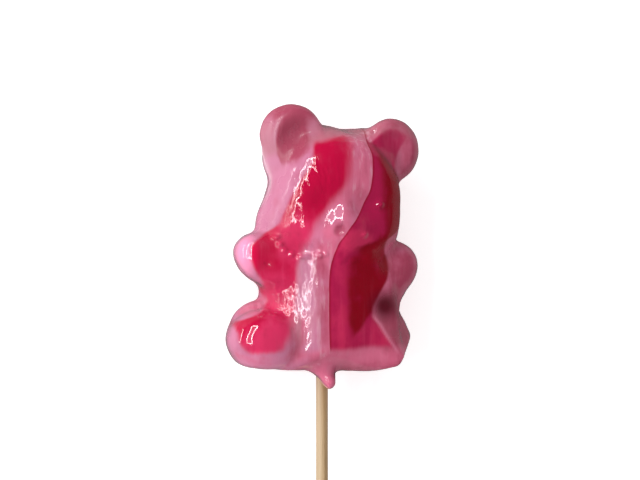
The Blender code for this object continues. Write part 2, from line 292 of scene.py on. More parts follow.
def ripple(point):
    """Slow unevenness left by the mould: two products of long waves that cross each other at a slant."""
    x, y, z = point
    slow = np.sin(0.9 * x + 0.5 * y + 1.0) * np.sin(0.7 * y - 0.6 * x + 0.4 * z)
    quick = np.sin(1.7 * x - 0.9 * y + 0.8 * z + 2.0) * np.sin(1.3 * y + 0.9 * x + 0.5)
    return RIPPLE_HEIGHT * (slow + 0.6 * quick)


def wrinkle(point):
    """Fine upright wrinkles in the ovals given: the sum of three waves across the bear, bent and broken."""
    x, y, _ = point
    bend = 0.9 * np.sin(0.55 * y + 0.3 * x) + 0.5 * np.sin(1.3 * y + 1.0)
    broad = np.sin(2.4 * x + bend) * np.sin(0.50 * y + 0.4 * x + 0.7)
    middling = np.sin(3.7 * x - 1.3 * bend + 2.0) * np.sin(0.85 * y + 0.2)
    fine = 0.6 * np.sin(5.1 * x + 2 * bend)
    return sum(height * oval(point, *place) for *place, height in WRINKLES) * (broad + middling + fine)


def dents(point):
    """The sum of round dents, blisters and beads in the front, each a bell of its width and depth."""
    x, y, z = point
    beads = tuple((*place, JAW_BEAD_WIDTH, -JAW_BEAD_HEIGHT) for place in JAW_BEADS)
    round_dents = (
        depth * np.exp(-((x - across) ** 2 + (y - up) ** 2) / width**2)
        for across, up, width, depth in DENTS + beads
    )
    return sum(round_dents) * beyond(z, 3)


def flash(point):
    """The fin that the mould's halves leave: a narrow bell over the parting plane, broken by waves.

    Underneath, it is up to four times as high.
    """
    x, y, z = point
    broken = np.sin(0.43 * x + 0.9 * y) * np.sin(0.71 * x - 0.5 * y + 2.0) + 0.4 * np.sin(1.7 * y + 1.3 * x)
    under = 1 + 3 / (1 + np.exp(2 * (y - 1)))
    return FLASH_HEIGHT * np.exp(-((z / FLASH_WIDTH) ** 2)) * np.clip(0.45 + 0.6 * broken, 0, 1) * under


def sugar(points):
    """The whole casting as one field over an array of points: below zero inside the sugar."""
    point = tuple(np.moveaxis(points, -1, 0))
    x, y, z = point
    form = bear(upright(point))
    leg = None
    for through, facing, softness in RIGHT_LEG_FACES:
        side = face(point, through, facing)
        leg = side if leg is None else cut(leg, side, softness)
    form = join(form, leg, RIGHT_LEG_FOLD)
    form = cut(form, face(point, *SEAT_FACE), SEAT_EDGE)
    for chip in CHIPS:
        form = cut(form, face(point, *chip), CHIP_EDGE)
    arch = UNDERCUT_ARCH * np.sqrt((x - 1) ** 2 + 4)
    undercut = -0.8 * (y - UNDERCUT_RISE) + 0.6 * (z - UNDERCUT_DEPTH) - arch
    form = cut(form, undercut, UNDERCUT_EDGE)
    form = join(form, neck(point), DROP_FOLD) - flash(point) - ripple(point) - wrinkle(point) + dents(point)
    return cut(form, back_flat_z - z, BACK_EDGE)


# The net: rays leave a spine inside the bear and reach the skin. Going round, they fan out in the parting
# plane; going up a ray's profile, their feet draw back to one pole and they tilt up until they stand upright.
POLE = (0.8, 22.0)
SPINE_LOW, SPINE_HIGH = 9.0, 46.0
ROUND = 960
FRONT_ROWS = 64
BACK_ROWS = 35
FOOT_REACH = 0.62
FOOT_DRAWN_BY = 0.35
HALVINGS = 18
LONGEST_FLAT_RAY, LONGEST_STEEP_RAY = 40.0, 34.0
ROUGH_TURNS, ROUGH_TILTS = 4001, 60
FAN_TURNS = (0.0, 0.18, 0.32, 0.50, 0.68, 0.82, 1.0)
FAN_ANGLES = (-90, -10, 10, 90, 170, 190, 270)
FAN_FEET = (SPINE_LOW, SPINE_LOW, SPINE_HIGH, SPINE_HIGH, SPINE_HIGH, SPINE_LOW, SPINE_LOW)


def reach(feet, directions, longest):
    """How far each ray runs to the skin: its span is halved again and again, on the side that leaves."""
    inside = np.zeros(feet.shape[:-1])
    outside = np.full(feet.shape[:-1], longest)
    for _ in range(HALVINGS):
        middle = (inside + outside) / 2
        out = sugar(feet + middle[..., None] * directions) > 0
        outside = np.where(out, middle, outside)
        inside = np.where(out, inside, middle)
    return (inside + outside) / 2


def fan(around):
    """The foot on the spine and the direction in the parting plane of each ray, from its share of a turn."""
    angle = np.radians(np.interp(around, FAN_TURNS, FAN_ANGLES))
    foot = np.stack([np.full_like(around, POLE[0]), np.interp(around, FAN_TURNS, FAN_FEET)], -1)
    return foot, np.stack([np.cos(angle), np.sin(angle)], -1)


def with_depth(places):
    """Places in the parting plane, given their third coordinate: nought."""
    return np.concatenate([places, np.zeros_like(places[..., :1])], -1)


def run_along(points):
    """Each point's distance along its row, as a share of the row's length."""
    steps = np.linalg.norm(np.diff(points, axis=-2), axis=-1)
    run = np.concatenate([np.zeros(steps.shape[:-1] + (1,)), np.cumsum(steps, -1)], -1)
    return run / run[..., -1:]


def respaced(parameter, points, shares):
    """For each row of points, the parameters at which its length is shared out as asked.

    The rows' lengths are laid end to end, two apart, so that one look-up serves them all.
    """
    offset = 2.0 * np.arange(len(points))[:, None]
    runs = (run_along(points) + offset).ravel()
    wanted = (shares + offset).ravel()
    parameters = np.broadcast_to(parameter, points.shape[:2]).ravel()
    return np.interp(wanted, runs, parameters).reshape(len(points), -1)


def skin(around, tilt, side):
    """The point of the skin for a share of the turn and a tilt: 0 at the pole, 1 in the parting plane.

    The foot goes out as the sine of the tilt, and moves from the pole to the spine within the first third.
    The ray leans from upright to level with the cube of the tilt. Side is 1 in front and -1 behind.
    """
    foot, direction = fan(around)
    edge = reach(with_depth(foot), with_depth(direction), LONGEST_FLAT_RAY)
    out = FOOT_REACH * np.sin(tilt * np.pi / 2)
    drawn = np.clip(tilt / FOOT_DRAWN_BY, 0, 1)
    drawn = drawn * (2 - drawn)
    feet_x = foot[..., 0] + out * edge * direction[..., 0]
    feet_y = POLE[1] + (foot[..., 1] - POLE[1]) * drawn + out * edge * direction[..., 1]
    feet = with_depth(np.stack([feet_x, feet_y], -1))
    lean = np.pi / 2 * tilt**3
    rays = np.concatenate([direction * np.sin(lean)[..., None], side * np.cos(lean)[..., None]], -1)
    return feet + reach(feet, rays, LONGEST_STEEP_RAY)[..., None] * rays


def half(around, rows, side):
    """One half of the casting: rows evenly spaced down each profile, from the pole to the parting plane."""
    rough = np.linspace(0, 1, ROUGH_TILTS)
    profile = skin(around[:, None], np.broadcast_to(rough, (len(around), ROUGH_TILTS)), side)
    tilt = respaced(rough, profile, np.linspace(0, 1, rows + 1)[1:])
    return np.moveaxis(skin(np.broadcast_to(around[:, None], tilt.shape), tilt, side), 1, 0)


def net_faces(rows, count):
    """Quads between neighbouring rows of a closed net, and a fan of triangles round each pole.

    Points are numbered row after row, with the two poles last.
    """
    k = np.arange(count)
    after = (k + 1) % count
    row = np.arange(rows - 1)[:, None] * count
    quads = np.stack([row + k, row + after, row + count + after, row + count + k], -1).reshape(-1, 4)
    front_pole, back_pole = rows * count, rows * count + 1
    last = (rows - 1) * count
    front = np.stack([np.full(count, front_pole), after, k], -1)
    back = np.stack([np.full(count, back_pole), last + k, last + after], -1)
    return quads.tolist() + front.tolist() + back.tolist()


rough_turns = np.linspace(0, 1, ROUGH_TURNS)
rough_feet, rough_rays = (with_depth(places) for places in fan(rough_turns))
outline = rough_feet + reach(rough_feet, rough_rays, LONGEST_FLAT_RAY)[:, None] * rough_rays
turns = respaced(rough_turns, outline[None], np.linspace(0, 1, ROUND + 1)[:-1])[0]

front_half = half(turns, FRONT_ROWS, 1)
back_half = half(turns, BACK_ROWS, -1)[-2::-1]
pole_feet = np.array([[*POLE, 0.0], [*POLE, 0.0]])
pole_rays = np.array([[0, 0, 1.0], [0, 0, -1.0]])
poles = pole_feet + reach(pole_feet, pole_rays, LONGEST_STEEP_RAY)[:, None] * pole_rays
skin_points = np.concatenate([front_half.reshape(-1, 3), back_half.reshape(-1, 3), poles])

bear_mesh = bpy.data.meshes.new("bear_casting")
bear_net = net_faces(FRONT_ROWS + BACK_ROWS - 1, ROUND)
bear_mesh.from_pydata(((skin_points + seat) * MM).tolist(), [], bear_net)
bear_mesh.shade_smooth()
bear_casting = bpy.data.objects.new("bear_casting", bear_mesh)
bpy.context.scene.collection.objects.link(bear_casting)


# Ribbons: each line is given by places (up, across) on it, with pink or dark sugar on one side of it.
# They run through the whole thickness, so they are read across and up alone, and wander a little on the back.
CHEEK_LINE = (
    (3.0, -19.2), (5.0, -20.4), (6.7, -21.5), (9.0, -22.0), (12.0, -21.6), (13.2, -18.5), (14.3, -16.1),
    (15.5, -14.6), (16.7, -14.0), (17.6, -14.2), (19.0, -15.2), (21.0, -15.3), (23.0, -16.7),
    (25.4, -17.9), (27.8, -18.4), (30.2, -18.1), (32.3, -15.8), (34.9, -12.2), (37.3, -11.1),
    (39.7, -10.0), (42.1, -9.0), (45.6, -7.2), (49.2, -4.7), (54.1, -3.7), (58.0, -3.2),
)
BROW_LINE = (
    (4.0, -12.2), (6.5, -11.4), (9.0, -10.2), (12.3, -9.0), (17.0, -8.3), (22.0, -7.6), (26.1, -7.2),
    (30.2, -5.2), (32.6, -4.7), (34.9, -4.1), (37.3, -2.4), (39.7, -0.4), (42.1, 1.4), (44.4, 3.1),
    (49.3, 4.3), (54.3, 5.0), (58.0, 5.8),
)
MIDDLE_LINE = (
    (-5.0, 0.4), (5.2, -0.6), (12.5, -0.8), (17.2, -0.7), (21.9, -0.5), (24.7, -0.1), (27.1, 0.6),
    (29.0, 1.3), (30.9, 1.9), (32.3, 2.8), (34.2, 3.9), (36.1, 5.3), (38.1, 6.8), (40.5, 8.1),
    (42.9, 9.2), (45.8, 9.8), (49.4, 10.1), (51.9, 10.2), (54.4, 9.6), (58.3, 10.1),
)
DARK_LINE = (
    (4.0, 9.5), (7.0, 6.5), (10.0, 4.6), (14.8, 4.0), (19.5, 4.0), (24.2, 4.7), (27.5, 5.0),
    (29.5, 6.5), (31.0, 10.5), (33.3, 13.1), (37.4, 13.4), (42.2, 13.4), (45.9, 13.2), (49.5, 12.7),
    (53.2, 12.0), (58.0, 12.0),
)
LEG_LINE = ((2.0, 3.0), (5.0, 4.4), (8.0, 5.6), (11.0, 8.0), (15.0, 11.4), (18.0, 14.0), (22.0, 30.0))
FLANK_LINE = (
    (2.0, 18.5), (4.9, 16.8), (7.6, 14.9), (10.8, 12.8), (13.1, 11.0), (15.0, 11.0), (16.9, 11.9),
    (19.2, 13.4), (21.6, 15.0), (24.0, 15.8), (26.9, 15.6), (29.4, 14.2), (31.4, 14.8), (33.3, 17.5),
    (37.0, 19.5), (46.0, 19.0), (49.8, 17.7), (52.3, 18.4), (54.8, 19.8), (57.3, 21.1), (60.0, 22.0),
)
# Over how many millimetres the colour changes at each line.
CHEEK_BLUR, BROW_BLUR, FLANK_BLUR, DARK_BLUR, LEG_BLUR = 1.8, 4.4, 1.4, 5.0, 2.2
# The pink also runs along the seat and over the crown: how high, and how much higher towards one side.
HEM_HEIGHT, HEM_RISE, HEM_BLUR = 5.2, 0.03, 2.6
CROWN_HEIGHT, CROWN_RISE, CROWN_MOST_RISE, CROWN_BLUR = 55.6, 0.29, 1.1, 2.4
# The slanting lines under the right ear and along the red in its dish: a place (across, up) and the slant.
UNDER_EAR_LINE = (10, 55.6, 1.05)
EAR_RED_LINE = (17.8, 49.8, 0.54)


def line_at(height, places):
    """How far across a ribbon's line is at each height: a cubic between its places, smooth through them."""
    y, x = np.array(places).T
    slope = np.gradient(x, y)
    height = np.clip(height, y[0], y[-1])
    k = np.clip(np.searchsorted(y, height) - 1, 0, len(y) - 2)
    span = y[k + 1] - y[k]
    t = (height - y[k]) / span
    ends = (1 + 2 * t) * (1 - t) ** 2 * x[k] + t * t * (3 - 2 * t) * x[k + 1]
    return ends + span * (t * (1 - t) ** 2 * slope[k] - t * t * (1 - t) * slope[k + 1])


def either(*shares):
    """The share of a place that one or another of the ribbons covers."""
    left = 1.0
    for share in shares:
        left = left * (1 - share)
    return 1 - left


def patches(*ovals):
    """The sum of oval patches of the skin, each with its strength last."""
    return sum(strength * oval((x, y, z), *place) for *place, strength in ovals)


# How surely each point of the skin lies in either ear's dish. Behind the parting plane the points are then
# shifted by slow waves that grow over 8 mm of depth, so that the ribbons wander on the back.
x, y, z = skin_points.T
dishes = [beyond(0.3 - dish(upright((x, y, z)), ear), 0.9) for ear in (0, 1)]
wander = np.clip(-z / 8, 0, 1)
x = x + wander * (1.6 * np.sin(0.19 * y + 0.6) + 0.7 * np.sin(0.47 * y + 2.0))
y = y + wander * 1.2 * np.sin(0.3 * x)

# The share of pink at each point, left and right of the middle line, and the share of the red painted dark as
# shade on the right side away from the lamps, where it also lies deep.
hem = beyond(HEM_HEIGHT + HEM_RISE * x - y, HEM_BLUR)
crown = beyond(y - CROWN_HEIGHT - np.minimum(CROWN_RISE * x, CROWN_MOST_RISE), CROWN_BLUR)
cheek = beyond(line_at(y, CHEEK_LINE) - x, CHEEK_BLUR)
brow = beyond(x - line_at(y, BROW_LINE), BROW_BLUR)
flank = beyond(x - line_at(y, FLANK_LINE), FLANK_BLUR)
past_middle = x - line_at(y, MIDDLE_LINE)
milk_left = either(cheek, brow, hem, crown)
ear_x, ear_y, ear_slant = UNDER_EAR_LINE
under_ear = y - ear_y + ear_slant * (x - ear_x)
right_ear = beyond(under_ear, 1.2) * beyond(x - 9, 2)
red_x, red_y, red_slant = EAR_RED_LINE
past_ear_red = beyond(x - red_x - red_slant * (y - red_y), 2.0)
milky_ear = right_ear * (1 - 0.8 * dishes[1] * (1 - past_ear_red))
milk_right = either(flank, hem, crown * (1 - right_ear), milky_ear)
above_leg = 1 - beyond(x - line_at(y, LEG_LINE), LEG_BLUR)
deep_and_shaded = beyond(x - line_at(y, DARK_LINE), DARK_BLUR) * above_leg * (1 - right_ear)

# Each patch below is an oval: across, up, half width, half height, soft edge and strength.
# The pink is painted paler on the lit left, and is warmer in the middle and along the seat.
warm_away_from_light = 0.9 * beyond(x + 3, 8) + 0.7 * hem + patches(
    (-15.5, 16.0, 6.0, 3.5, 0.9, 1.2), (-15.0, 3.0, 8.5, 6.0, 0.9, -0.5), (-8.5, 9.5, 3.0, 6.0, 0.9, 0.9),
    (3.0, 37.0, 5.0, 4.0, 0.9, -0.3),
)
# The pink is dusky where it lies thin, as in the left ear's dish. It is darker as painted shade on the right
# side away from the lamps, over the top of the head and ears, in the mouth, in the fold beside the left foot,
# under the seat and beside the neck. Some patches paint it lighter, as under the chin.
thin_and_shaded = 0.8 * beyond(x - 15, 10) * (1 - 0.7 * hem)
thin_and_shaded = thin_and_shaded + 1.5 * dishes[0] * oval((x, y, z), -10.4, 56.8, 5.2, 6.8, 0.7)
thin_and_shaded = thin_and_shaded + 0.6 * beyond(y - 60.5, 5.0) + patches(
    (-8.0, 60.0, 5.5, 7.0, 0.9, 0.45), (-2.2, 20.0, 1.8, 13.0, 0.9, 0.5), (6.0, 40.5, 3.0, 3.5, 0.9, 0.35),
    (17.5, 9.0, 5.0, 7.0, 0.9, 0.35), (3.5, -0.5, 2.5, 4.0, 0.9, 0.35), (-8.5, 9.0, 2.0, 5.5, 0.9, 0.45),
    (14.0, -0.5, 9.0, 2.5, 0.9, 0.5), (1.5, 30.0, 5.0, 5.0, 0.9, -0.3), (7.0, 46.0, 3.0, 8.0, 0.9, -0.15),
    (19.5, 55.0, 3.5, 5.0, 0.9, -0.35), (1.6, 33.6, 1.5, 1.6, 0.9, 0.8),
)
# Where the red lies thin over the pink it is lighter. It is painted brighter still, as light shining through
# it, on the lit left cheek, arm, foot and leg, on the belly and under the jaw.
thin_red_and_painted_light = patches(
    (-7.0, 31.0, 5.5, 6.5, 1.2, 1.0), (-12.0, 19.5, 9.0, 4.0, 1.2, 0.9), (-13.5, 6.0, 8.0, 5.5, 1.2, 1.0),
    (2.5, 7.0, 4.5, 8.0, 1.2, 0.25), (13.0, 7.5, 5.0, 4.5, 1.2, 0.35), (2.4, 18.0, 2.2, 12.0, 1.0, 0.35),
    (6.0, 31.0, 4.5, 3.0, 1.0, 0.9), (-11.0, 13.0, 5.0, 5.0, 1.0, 0.5),
)
# A painted reflection: a pale band round the parting plane along the sides of the head, where they turn away,
# and pale patches of painted highlight above the left foot and on the left of the belly.
beside_head = beyond(np.abs(x) - 9, 4.0) * beyond(y - 30, 6) * beyond(54 - y, 6)
painted_sheen = np.exp(-(((z + 0.2) / 2.0) ** 2)) * beside_head
painted_sheen += patches((-17.5, 15.8, 4.0, 1.8, 0.9, 0.2), (-6.2, 15.5, 3.2, 9.0, 1.0, 0.3))
# Painted light and shade: the colour is scaled lighter in some places, as on the outer left arm, the chin and
# under the jaw, and darker in others, as beside the neck.
painted_light_and_shade = patches(
    (-21.5, 27.5, 3.8, 7.5, 0.9, 0.70), (-0.5, 30.5, 5.0, 4.0, 0.9, 0.22), (-21.0, 6.0, 4.0, 8.0, 0.9, 0.12),
    (-17.5, 2.0, 7.0, 3.0, 0.9, 0.20), (14.0, 2.8, 10.0, 2.0, 0.9, 0.10), (-0.8, -1.0, 1.6, 4.0, 0.9, 0.12),
    (3.6, -1.0, 2.2, 3.0, 0.9, -0.10), (11.0, 27.8, 3.5, 2.2, 0.9, 0.20), (6.0, 31.5, 4.5, 3.0, 0.9, -0.15),
    (-20.0, 56.0, 2.5, 7.0, 0.9, 0.12), (20.5, 50.5, 3.0, 4.0, 0.9, -0.1),
    (-12.0, 19.0, 5.0, 3.0, 0.9, -0.15), (-20.3, 7.0, 2.2, 5.0, 0.9, -0.14),
)
# A painted highlight runs pale along the edge of the right leg.
on_leg = beyond(13.0 - y, 2) * beyond(y - 4, 2) * beyond(z, 3)
ridge_highlight = np.exp(-(((x - line_at(y, FLANK_LINE)) / 0.5) ** 2)) * on_leg
# Painted shade: the sugar is darker in the pit over the right leg and in the fold under the right ear.
in_fold = beyond(x - 11, 2) * beyond(18.5 - x, 3) * beyond(z, 3)
pit = patches((14.2, 15.4, 3.6, 3.2, 1.6, 1.0)) + 0.6 * np.exp(-((under_ear / 0.9) ** 2)) * in_fold
# Where the sugar scraped the mould it is dull, and where it wrinkled as it set, its gloss breaks up.
dull = patches(
    (-14.0, 41.0, 5.0, 15.0, 0.7, 0.8), (-12.5, 57.0, 9.0, 9.0, 0.7, 0.7), (-15.5, 16.5, 5.0, 3.0, 0.7, 0.5),
    (16.0, 13.0, 5.0, 6.0, 0.5, 0.9), (14.5, 27.0, 3.0, 4.5, 0.9, 0.9), (19.5, 42.0, 4.0, 12.0, 0.7, 0.8),
    (-4.4, 17.0, 1.8, 13.0, 0.9, 0.35),
)
wrinkled = patches(
    (-5.5, 16.0, 5.0, 12.0, 0.7, 1.0), (-3.5, 47.5, 6.5, 5.0, 0.7, 0.8), (-15.5, 16.5, 6.0, 3.2, 0.7, 1.0),
    (-3.0, 37.5, 3.0, 4.0, 0.7, 0.6), (-19.5, 28.0, 3.0, 6.0, 0.7, 0.6), (-8.5, 38.0, 2.5, 5.0, 0.7, 0.8),
)
# Where the pink was pulled longest, its streaks show.
drawn = 0.12 + patches(
    (8.0, 50.0, 5.0, 13.0, 0.8, 0.9), (-3.5, 15.0, 5.0, 14.0, 0.8, 0.7), (-3.0, 28.5, 4.0, 4.0, 0.8, 0.5),
)
for name, values in (
    ("milk_left", milk_left),
    ("milk_right", milk_right),
    ("past_middle", past_middle),
    ("deep_and_shaded", deep_and_shaded),
    ("thin_and_shaded", thin_and_shaded),
    ("warm_away_from_light", warm_away_from_light),
    ("thin_red_and_painted_light", thin_red_and_painted_light),
    ("hem", hem),
    ("crown", crown * (1 - np.clip(thin_and_shaded, 0, 1) * 0.9)),
    ("pit", pit),
    ("painted_sheen", painted_sheen),
    ("painted_light_and_shade", painted_light_and_shade),
    ("drawn", drawn),
    ("ridge_highlight", ridge_highlight),
    ("dull", dull),
    ("wrinkled", wrinkled),
):
    shares = bear_mesh.attributes.new(name, "FLOAT", "POINT")
    shares.data.foreach_set("value", np.clip(values, -9, 9).astype(np.float32))


# Pulled sugar and split bamboo both show long streaks that run up the lollipop: noise over the place on the
# object, in metres, with the height multiplied by the shortness, so that a small number draws them out.
drawn_streaks = bpy.data.node_groups.new("drawn_streaks", "ShaderNodeTree")
for socket_name in ("Fineness", "Shortness", "Detail", "Raggedness"):
    drawn_streaks.interface.new_socket(name=socket_name, in_out="INPUT", socket_type="NodeSocketFloat")
drawn_streaks.interface.new_socket(name="Streaks", in_out="OUTPUT", socket_type="NodeSocketFloat")
asked = drawn_streaks.nodes.new("NodeGroupInput").outputs
object_place = drawn_streaks.nodes.new("ShaderNodeTexCoord")
apart = drawn_streaks.nodes.new("ShaderNodeSeparateXYZ")
shortened = drawn_streaks.nodes.new("ShaderNodeMath")
shortened.operation = "MULTIPLY"
together = drawn_streaks.nodes.new("ShaderNodeCombineXYZ")
grain = drawn_streaks.nodes.new("ShaderNodeTexNoise")
given = drawn_streaks.nodes.new("NodeGroupOutput").inputs
for source, target in (
    (object_place.outputs["Object"], apart.inputs[0]),
    (apart.outputs["Y"], shortened.inputs[0]),
    (asked["Shortness"], shortened.inputs[1]),
    (apart.outputs["X"], together.inputs["X"]),
    (shortened.outputs[0], together.inputs["Y"]),
    (apart.outputs["Z"], together.inputs["Z"]),
    (together.outputs[0], grain.inputs["Vector"]),
    (asked["Fineness"], grain.inputs["Scale"]),
    (asked["Detail"], grain.inputs["Detail"]),
    (asked["Raggedness"], grain.inputs["Roughness"]),
    (grain.outputs["Fac"], given["Streaks"]),
):
    drawn_streaks.links.new(source, target)


class Finish:
    """A material's node tree: each call adds a node, and links or sets what it is given."""

    def __init__(self, name):
        self.material = bpy.data.materials.new(name)
        self.material.use_nodes = True
        self.tree = self.material.node_tree
        self.shader = self.tree.nodes["Principled BSDF"]

    def put(self, socket, value):
        """Link a socket to another, or set its value; a colour is three numbers."""
        if isinstance(value, bpy.types.NodeSocket):
            self.tree.links.new(value, socket)
        elif isinstance(value, tuple) and len(value) == 3 and socket.type == "RGBA":
            socket.default_value = (*value, 1)
        else:
            socket.default_value = value

    def node(self, kind, inputs=(), **settings):
        """A new node with these settings and inputs."""
        made = self.tree.nodes.new(kind)
        for key, value in settings.items():
            setattr(made, key, value)
        for key, value in dict(inputs).items():
            self.put(made.inputs[key], value)
        return made

    def arithmetic(self, operation, a, b):
        made = self.node("ShaderNodeMath", operation=operation)
        self.put(made.inputs[0], a)
        self.put(made.inputs[1], b)
        return made.outputs[0]

    def plus(self, a, b):
        return self.arithmetic("ADD", a, b)

    def less(self, a, b):
        return self.arithmetic("SUBTRACT", a, b)

    def times(self, a, b):
        return self.arithmetic("MULTIPLY", a, b)

    def step(self, value, low, high):
        """0 at low, 1 at high, and a smooth rise or fall between; high may lie below low."""
        inputs = {"Value": value, "From Min": low, "From Max": high}
        return self.node("ShaderNodeMapRange", inputs, interpolation_type="SMOOTHSTEP").outputs["Result"]

    def mix(self, share, a, b):
        """The first colour, with that share of the second."""
        made = self.node("ShaderNodeMix", data_type="RGBA")
        self.put(made.inputs[0], share)
        self.put(made.inputs[6], a)
        self.put(made.inputs[7], b)
        return made.outputs[2]

    def value_of(self, attribute):
        """What the mesh says of each point under that name."""
        return self.node("ShaderNodeAttribute", attribute_name=attribute).outputs["Fac"]

    def object_place(self):
        """The place on the object, in metres."""
        return self.node("ShaderNodeTexCoord").outputs["Object"]

    def clouds(self, scale, detail):
        """Uneven blots, as wide as they are long."""
        inputs = {"Vector": self.object_place(), "Scale": scale, "Detail": detail}
        return self.node("ShaderNodeTexNoise", inputs).outputs["Fac"]

    def streaks(self, fineness, shortness, detail=3.0, raggedness=0.6):
        """The streaks of the shared group, in this material's own fineness and length."""
        inputs = {"Fineness": fineness, "Shortness": shortness, "Detail": detail, "Raggedness": raggedness}
        return self.node("ShaderNodeGroup", inputs, node_tree=drawn_streaks).outputs["Streaks"]

    def give(self, **inputs):
        """Link or set the shader's own sockets, whose names are written with _ for a space."""
        for key, value in inputs.items():
            self.put(self.shader.inputs[key.replace("_", " ")], value)


PALE_PINK = (0.61, 0.205, 0.335)
WARM_PINK = (0.70, 0.155, 0.265)
DUSKY_PINK = (0.43, 0.058, 0.115)
RIDGE_HIGHLIGHT_PINK = (0.75, 0.22, 0.34)
GREYED_PINK = (0.46, 0.16, 0.19)
CLEAR_RED = (0.55, 0.004, 0.05)
MILKY_RED = (0.46, 0.012, 0.075)
GLOWING_RED = (0.76, 0.036, 0.13)
DARK_RED = (0.285, 0.002, 0.012)
PIT_SHADE_RED = (0.13, 0.002, 0.014)
STREAK_AND_SHEEN_PINK = (0.84, 0.58, 0.67)

# How much of its colour each of these adds where it is at its strongest.
CROWN_SHARE, PALE_STREAK_SHARE, DUSKY_STREAK_SHARE = 0.6, 0.30, 0.25
SEAM_SHARE, SHEEN_SHARE, RIDGE_HIGHLIGHT_SHARE = 0.6, 0.8, 0.7
# How ragged the ribbons' edges are, and how uneven the sugar's colour is within them.
EDGE_RAGGEDNESS, UNEVENNESS = 0.9, 1.1
# The clear skin of the sugar is a coat over it; dull places are rougher and lose their coat.
COAT_ROUGHNESS, DULL_ROUGHNESS = 0.03, 0.30
# The relief of the pulled streaks in metres, and how many times higher the grain of wrinkled places is.
STREAK_RELIEF, WRINKLED_GRAIN = 0.00002, 3.0

candy = Finish("boiled_sugar")
pulled = candy.streaks(900, 0.12, raggedness=0.5)
wisps = candy.streaks(330, 0.10, detail=4.0)
cloudy = candy.clouds(260, 3.0)
grains = candy.streaks(1300, 0.16)

# The two pours meet along the middle line, with a thin dark seam at its right.
right_side = candy.step(candy.value_of("past_middle"), -0.08, 0.10)
seam = candy.less(right_side, candy.step(candy.value_of("past_middle"), 0.15, 0.7))
seam = candy.times(seam, candy.less(1.0, candy.value_of("hem")))
ragged = candy.times(candy.less(wisps, 0.5), EDGE_RAGGEDNESS)
milk = candy.mix(right_side, candy.value_of("milk_left"), candy.value_of("milk_right"))
milk = candy.step(candy.plus(milk, ragged), 0.0, 1.0)

# Each change of colour is broken up by the same wisps and clouds.
uneven = candy.times(candy.less(candy.plus(wisps, cloudy), 1.0), UNEVENNESS)
thin_and_shaded = candy.step(candy.plus(candy.value_of("thin_and_shaded"), uneven), -0.1, 1.1)
thin_red_and_painted_light = candy.step(candy.plus(candy.value_of("thin_red_and_painted_light"), uneven), -0.05, 1.05)
deep_and_shaded = candy.step(candy.plus(candy.value_of("deep_and_shaded"), uneven), 0.0, 1.0)
warm_away_from_light = candy.step(candy.plus(candy.value_of("warm_away_from_light"), uneven), -0.1, 1.1)

# The opaque pink, with its pale and dusky streaks, painted paler on the lit left and darker where shade
# falls.
pink = candy.mix(thin_and_shaded, candy.mix(warm_away_from_light, PALE_PINK, WARM_PINK), DUSKY_PINK)
# On the crown the pink is greyed: a painted grazing reflection.
pink = candy.mix(candy.times(candy.value_of("crown"), CROWN_SHARE), pink, GREYED_PINK)
drawn = candy.value_of("drawn")
pale_streaks = candy.times(candy.step(pulled, 0.50, 0.72), candy.times(drawn, PALE_STREAK_SHARE))
pink = candy.mix(pale_streaks, pink, STREAK_AND_SHEEN_PINK)
dusky_streaks = candy.times(candy.step(pulled, 0.48, 0.30), candy.times(drawn, DUSKY_STREAK_SHARE))
pink = candy.mix(dusky_streaks, pink, DUSKY_PINK)

# The red: clear on the left, a little milky on the right, lighter where thin and painted brighter as light
# shining through it, and painted dark as shade on the right side, where it also lies deep.
red = candy.mix(right_side, CLEAR_RED, MILKY_RED)
red = candy.mix(thin_red_and_painted_light, red, GLOWING_RED)
red = candy.mix(deep_and_shaded, red, DARK_RED)

colour = candy.mix(milk, red, pink)
colour = candy.mix(candy.times(seam, SEAM_SHARE), colour, DARK_RED)
# Painted shade in the pit and the fold.
colour = candy.mix(candy.value_of("pit"), colour, PIT_SHADE_RED)
# A painted reflection and painted highlights: pale along the sides of the head and in patches.
sheen_spots = candy.times(candy.value_of("painted_sheen"), candy.step(wisps, 0.35, 0.65))
colour = candy.mix(candy.times(sheen_spots, SHEEN_SHARE), colour, STREAK_AND_SHEEN_PINK)
# A painted highlight along the edge of the right leg.
colour = candy.mix(candy.times(candy.value_of("ridge_highlight"), RIDGE_HIGHLIGHT_SHARE), colour, RIDGE_HIGHLIGHT_PINK)
# Painted light and shade scale the colour up and down.
lightened = candy.node("ShaderNodeVectorMath", {"Vector": colour}, operation="SCALE")
candy.put(lightened.inputs["Scale"], candy.plus(1.0, candy.value_of("painted_light_and_shade")))

dull = candy.value_of("dull")
roughness = candy.plus(candy.step(cloudy, 0.25, 2.2), candy.times(dull, DULL_ROUGHNESS))
candy.give(Base_Color=lightened.outputs["Vector"], Roughness=roughness)
candy.give(Coat_Weight=candy.step(dull, 0.9, -0.1), Coat_Roughness=COAT_ROUGHNESS)
grain_height = candy.times(candy.value_of("wrinkled"), candy.times(grains, WRINKLED_GRAIN))
height = candy.plus(pulled, grain_height)
bump = candy.node("ShaderNodeBump", {"Height": height, "Strength": 1.0, "Distance": STREAK_RELIEF})
candy.give(Normal=bump.outputs["Normal"])
bear_mesh.materials.append(candy.material)
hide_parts("candy_bear")
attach(bear_casting, "root")

# ----------------------------------------------------------------------------------------------
# The stick: a thin round skewer of split bamboo, planed dry and unvarnished, with the long fibres
# standing in fine ridges. The sugar sets hard round it, and its far end is sawn and chamfered.
# ----------------------------------------------------------------------------------------------
STICK_SIDES = 96
STICK_ROWS = 240
PLANED_OFF = 0.035
SAWN_CHAMFER = 0.0003

stick_radius = (stick_high.x - stick_low.x) / 2
stick_length = stick_high.y - stick_low.y


